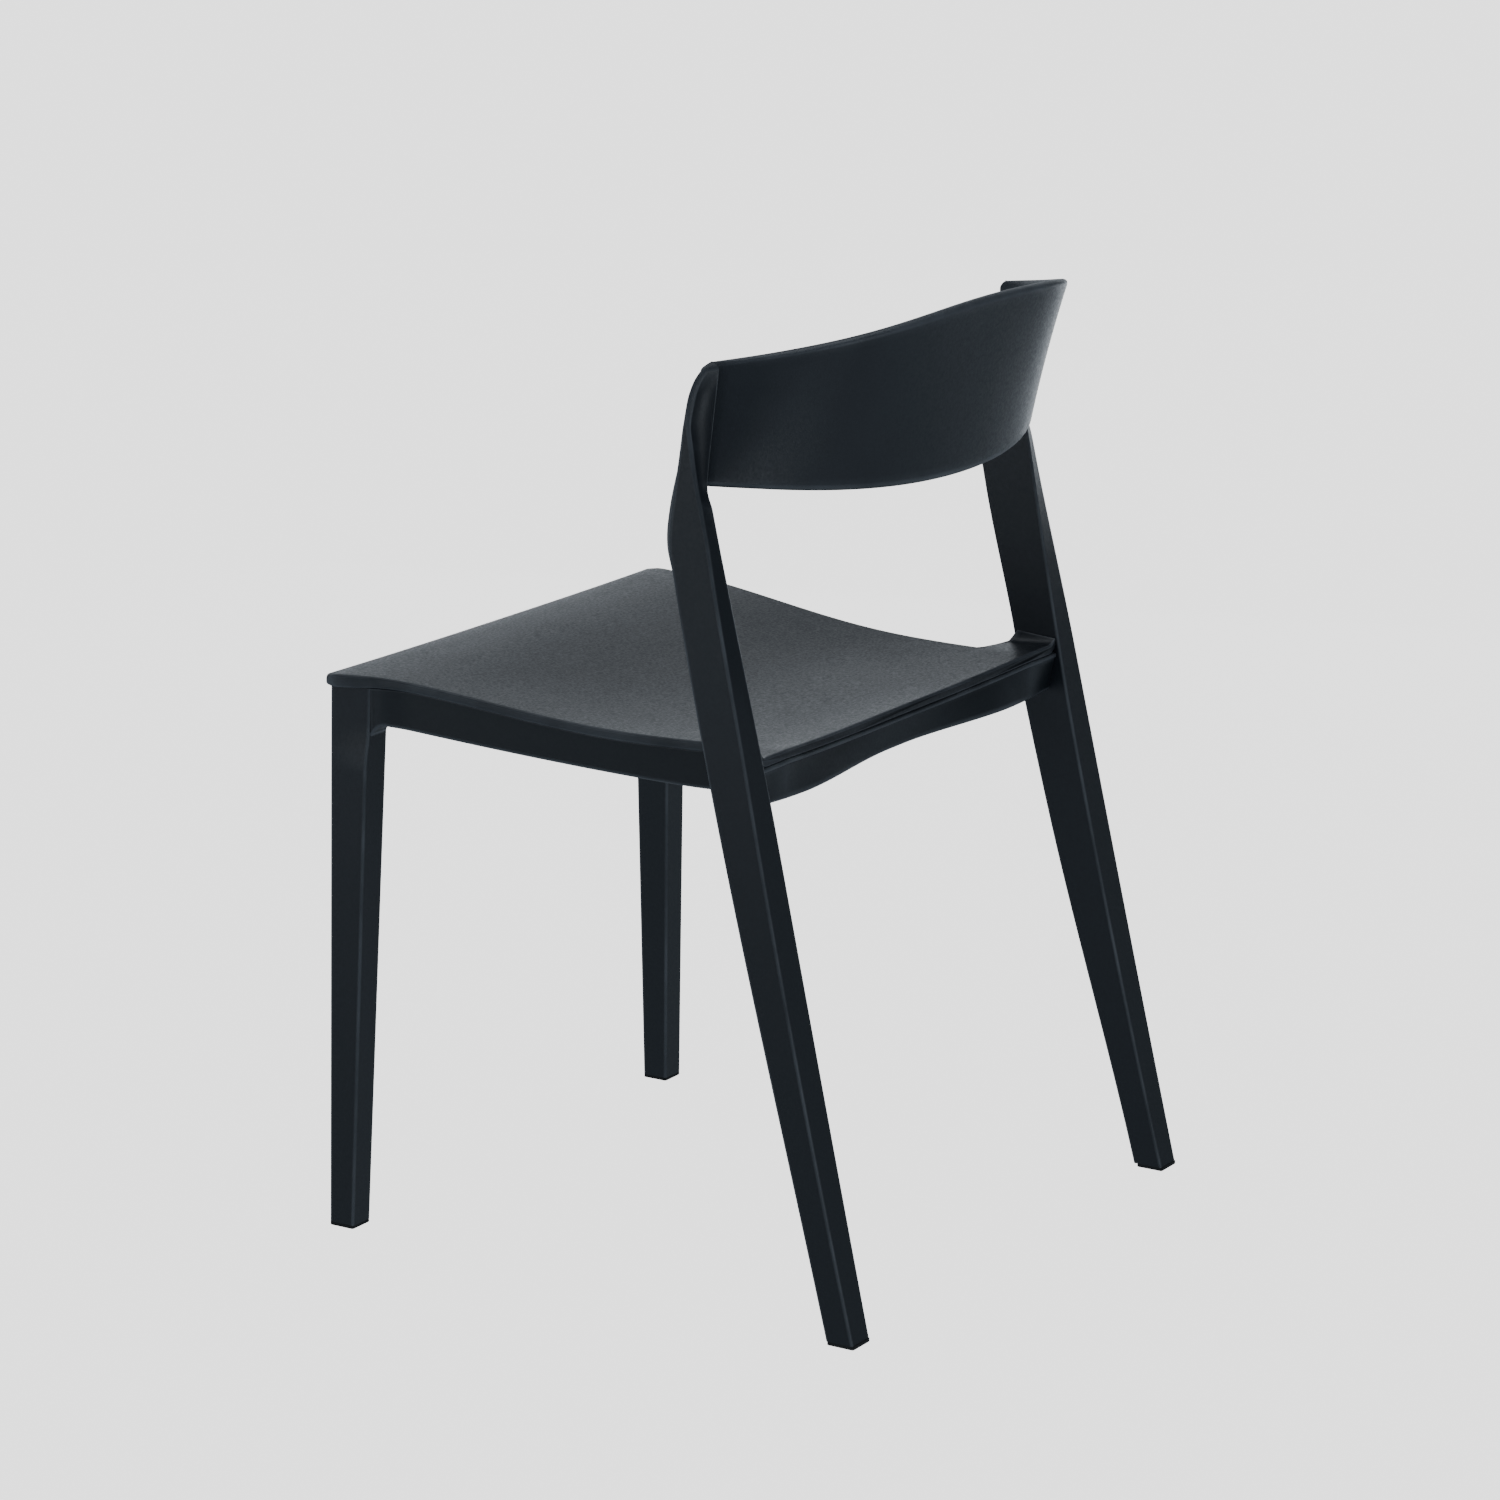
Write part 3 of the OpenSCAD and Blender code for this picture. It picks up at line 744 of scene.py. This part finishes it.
def rear_rail_ring(x):
    """A leaning face with a rounded bead along its top, under the rim of the seat."""
    r, b = rear_edge(x), rail_back(x)
    top = rim_seat(min(abs(x), 215), r)
    low = REAR_RAIL_LOW + 1.2 * smooth((abs(x) - 150) / 60)
    front = b - CROSS_RAIL_T
    ring = [(front, top), (front, lerp(top, low, 0.5))]
    ring += [(front, low + 2), (front + 0.6, low + 0.6), (front + 2, low)]
    for i in range(7):
        a = math.pi / 2 * i / 6
        ring.append((b - 2.5 + 2.5 * math.sin(a), low + 2.5 - 2.5 * math.cos(a)))
    for i in range(1, 9):
        ring.append((lerp(b, r - 0.9, i / 8), lerp(low + 2.5, top - 4.6, i / 8)))
    for i in range(11):
        a = math.pi * (i / 10 - 0.5)
        ring.append((r - 0.9 + 1.6 * math.cos(a), top - 2.3 + 1.9 * math.sin(a)))
    ring.append((r - 1.2, top))
    return [(x, p[0], p[1]) for p in ring]


def build_rear_rail():
    reach = FLARE_X + OVERRUN
    rings = [rear_rail_ring(x) for x in steps(-reach, reach, 71)]
    verts, faces = loft(rings)
    obj = finish_mesh("rear_rail_skin", verts, faces, 40)
    return place(obj, "rear_rail", RAIL_PLASTIC)


# ---------------------------------------------------------------- glides


def build_glide(side, name, e):
    rings = []
    for z, inset in ((0, 0.7), (0.12, 0.35), (0.35, 0.12), (0.7, 0), (GLIDE_H, 0)):
        edges = (e[0] - inset, e[1] + inset, e[2] + inset, e[3] - inset)
        rings.append(at_height(leg_section(edges), z))
    verts, faces = loft(mirrored(rings, side))
    obj = finish_mesh(name + "_skin", verts, faces)
    return place(obj, name, GLIDE_RUBBER)


# ---------------------------------------------------------------- hidden hardware


def bevelled_copy(node, material, width):
    """The CAD shape itself with its edges eased, for the parts under the seat."""
    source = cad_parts[node]
    mesh = source.data.copy()
    mesh.name = node + "_eased"
    bm = bmesh.new()
    bm.from_mesh(mesh)
    bmesh.ops.remove_doubles(bm, verts=bm.verts, dist=1e-6)
    bmesh.ops.dissolve_limit(bm, angle_limit=math.radians(1), verts=bm.verts, edges=bm.edges)
    mark_edges(bm)
    bm.to_mesh(mesh)
    bm.free()
    obj = bpy.data.objects.new(node + "_eased", mesh)
    bpy.context.scene.collection.objects.link(obj)
    bevel = obj.modifiers.new("ease", "BEVEL")
    bevel.width = width
    bevel.segments = 2
    bevel.limit_method = "ANGLE"
    bevel.angle_limit = math.radians(50)
    mesh.shade_smooth()
    mesh.set_sharp_from_angle(angle=math.radians(35))
    return place(obj, node, material)


def build_chair():
    build_seat()
    build_band()
    for side, word in ((1, "left"), (-1, "right")):
        build_front_leg(side, word + "_front_leg")
        build_rear_leg(side, word + "_rear_leg")
        build_side_rail(side, word + "_side_rail")
        build_glide(side, word + "_front_glide", front_leg(0))
        rear = (leg_outer(0), leg_inner(0), leg_front(0), leg_back(0))
        build_glide(side, word + "_rear_glide", rear)
        for end in ("front", "rear"):
            bevelled_copy(f"{word}_{end}_brace", BRACE_PLASTIC, 0.0006)
    build_front_rail()
    build_rear_rail()
    bevelled_copy("brace_screws", ZINC, 0.0002)
    bevelled_copy("seat_screws", ZINC, 0.0002)
    bevelled_copy("backrest_dowels", PIN_STEEL, 0.0003)


# ---------------------------------------------------------------- studio


# The floor and the backdrop glow evenly, so that no horizon shows
SCREEN_COLOUR, SCREEN_LIGHT, SCREEN_GLOW = (0.06, 0.06, 0.06), (0.9, 0.9, 0.9, 1.0), 2.5
# Reach of the floor, and distance, half angle and heights of the wall, in mm and degrees
FLOOR_REACH, WALL_AT, WALL_TURN = 9000, 5200, 110
WALL_HEIGHTS = (0, 900, 2200, 4200)
PHOTO_HEADING = 122.4


def screen_material(name):
    n = Nodes(name)
    dimmer = tuple(c * 0.995 for c in SCREEN_COLOUR)
    tone = n.ramp(n.noise(2.0, 2.0), "Fac", [(0.3, dimmer), (0.7, SCREEN_COLOUR)])
    n.link(tone, "Color", n.shader, "Base Color")
    n.shader.inputs["Roughness"].default_value = 0.9
    n.shader.inputs["Specular IOR Level"].default_value = 0.0
    n.shader.inputs["Emission Color"].default_value = SCREEN_LIGHT
    n.shader.inputs["Emission Strength"].default_value = SCREEN_GLOW
    return n.material


def build_studio():
    r = FLOOR_REACH
    floor = finish_mesh("floor", [(-r, -r, 0), (r, -r, 0), (r, r, 0), (-r, r, 0)], [(0, 1, 2, 3)])
    floor.data.materials.append(screen_material("floor_paint"))
    # A pale wall curves round the far side of the floor
    verts, faces = [], []
    rows = len(WALL_HEIGHTS)
    turns = steps(-WALL_TURN, WALL_TURN, 49)
    for turn in turns:
        a = math.radians(PHOTO_HEADING + 180 + turn)
        verts += [(WALL_AT * math.sin(a), -WALL_AT * math.cos(a), z) for z in WALL_HEIGHTS]
    for i in range(len(turns) - 1):
        for j in range(rows - 1):
            k = rows * i + j
            faces.append((k, k + 1, k + rows + 1, k + rows))
    wall = finish_mesh("backdrop", verts, faces)
    wall.data.materials.append(screen_material("backdrop_paint"))
    for screen in (floor, wall):
        screen.visible_glossy = False
        screen.visible_diffuse = False


def soft_light(name, place_at, aim, size, power):
    data = bpy.data.lights.new(name, "AREA")
    data.shape = "RECTANGLE"
    data.size, data.size_y = size
    data.energy = power
    data.color = LIGHT_TINT
    obj = bpy.data.objects.new(name, data)
    obj.location = place_at
    obj.rotation_euler = (Vector(aim) - Vector(place_at)).to_track_quat("-Z", "Y").to_euler()
    bpy.context.scene.collection.objects.link(obj)


# Strength of the light from the floor and from the room, and its tint
FLOOR_LIGHT, ROOM_LIGHT, ROOM_TINT = 0.42, 0.07, (0.76, 0.88, 1.0)
# Upward part of a direction at which the floor's light starts and ends turning into the room's
TURN_START, TURN_END = -0.35, 0.25
LIGHT_TINT = (0.88, 0.94, 1.0)
# Name, place, aim, width and height in metres, and power in watts
LIGHTS = (
    ("top_softbox", (0.2, -0.2, 3.2), (0, 0, 0.3), (3.0, 3.0), 34),
    ("far_card", (-4.0, -2.5, 1.5), (0, 0, 0.5), (6.0, 2.6), 36),
    ("back_card", (0.9, 3.2, 0.2), (0, 0, 0.5), (2.0, 1.2), 14),
    ("low_card", (-2.18, -0.67, 0.3), (0, 0, 0.6), (2.4, 0.5), 9),
    ("left_card", (3.0, -2.0, 0.6), (0, 0, 0.5), (2.6, 1.2), 11),
)


# Camera fitted to the photo, in metres, with its lens and sensor width in mm
CAMERA_AT, CAMERA_AIM = (3.4986, 2.2150, 1.4383), (0.0057, 0.0016, 0.3818)
LENS, SENSOR = 126.94, 36


def build_room_light():
    world = bpy.data.worlds.new("room")
    bpy.context.scene.world = world
    world.use_nodes = True
    tree = world.node_tree
    background = tree.nodes["Background"]
    background.inputs["Strength"].default_value = 1.0
    # The pale floor lights the chair from below, the room above it is dimmer
    coords = tree.nodes.new("ShaderNodeTexCoord")
    split = tree.nodes.new("ShaderNodeSeparateXYZ")
    ramp = tree.nodes.new("ShaderNodeValToRGB")
    span = tree.nodes.new("ShaderNodeMapRange")
    span.inputs["From Min"].default_value = TURN_START
    span.inputs["From Max"].default_value = TURN_END
    for element, glow in zip(ramp.color_ramp.elements, (FLOOR_LIGHT, ROOM_LIGHT)):
        element.color = (*(c * glow for c in ROOM_TINT), 1.0)
    tree.links.new(coords.outputs["Generated"], split.inputs["Vector"])
    tree.links.new(split.outputs["Z"], span.inputs["Value"])
    tree.links.new(span.outputs["Result"], ramp.inputs["Fac"])
    tree.links.new(ramp.outputs["Color"], background.inputs["Color"])


def build_camera():
    camera = bpy.data.objects.new("camera", bpy.data.cameras.new("camera"))
    camera.data.lens = LENS
    camera.data.sensor_width = SENSOR
    camera.location = CAMERA_AT
    aim = Vector(CAMERA_AIM)
    camera.rotation_euler = (aim - camera.location).to_track_quat("-Z", "Y").to_euler()
    bpy.context.scene.collection.objects.link(camera)
    bpy.context.scene.camera = camera


build_chair()
build_studio()
build_room_light()
for light in LIGHTS:
    soft_light(*light)
build_camera()
